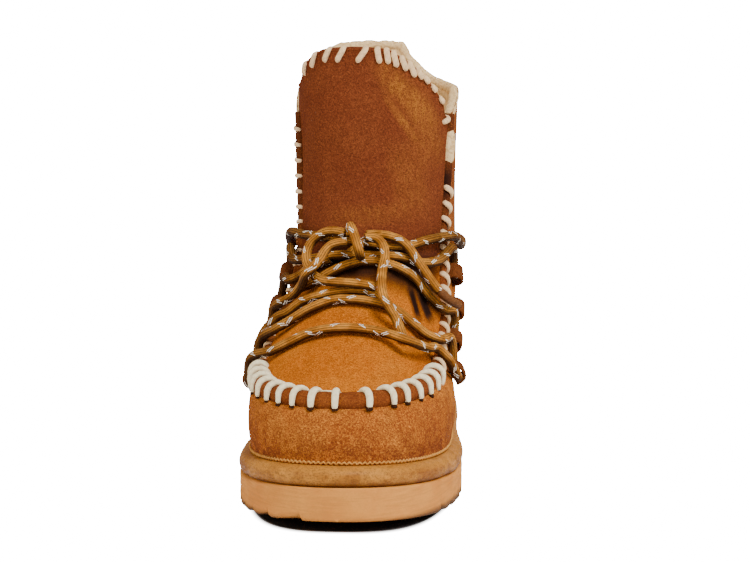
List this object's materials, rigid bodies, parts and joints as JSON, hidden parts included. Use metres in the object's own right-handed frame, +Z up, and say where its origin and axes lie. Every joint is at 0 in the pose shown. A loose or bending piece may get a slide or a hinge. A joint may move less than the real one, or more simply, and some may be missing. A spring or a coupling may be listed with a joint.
{
  "type": "mukluk boot",
  "caption": "ankle-high soft boot with a rounded moccasin toe, raised whip-stitched seam, tall front panel, round lace wrapped round the ankle and a thick grooved sole",
  "frame": {"origin": "on the floor under the middle of the boot's box, measured without the lace's free knot, bow and ends", "axes": "+Y runs from the toe to the heel, +X to the outer side of the left foot, +Z up"},
  "size_m": [0.1124, 0.2768, 0.216],
  "materials": {
    "lace_cord": "braided cord with light flecks",
    "lining_fleece": "fleece",
    "suede": "napped suede",
    "lace_tip": "smooth plastic",
    "wrap_leather": "smooth leather with a soft sheen",
    "foam_sole": "moulded foam, fine lines on its side"
  },
  "bodies": {
    "root": {"bow_loop_medial": "lace_cord", "insole": "lining_fleece", "lace": "lace_cord", "lace_end_front": "lace_cord", "lace_end_lateral": "lace_cord", "lace_knot": "lace_cord", "lace_loop_lateral_1": "suede", "lace_loop_lateral_2": "suede", "lace_loop_lateral_3": "suede", "lace_loop_lateral_4": "suede", "lace_loop_medial_1": "suede", "lace_loop_medial_2": "suede", "lace_loop_medial_3": "suede", "lace_loop_medial_4": "suede", "lace_tip_lateral": "lace_tip", "midsole": "wrap_leather", "outsole": "foam_sole", "tongue": "suede", "upper": "suede"}
  },
  "joints": []
}
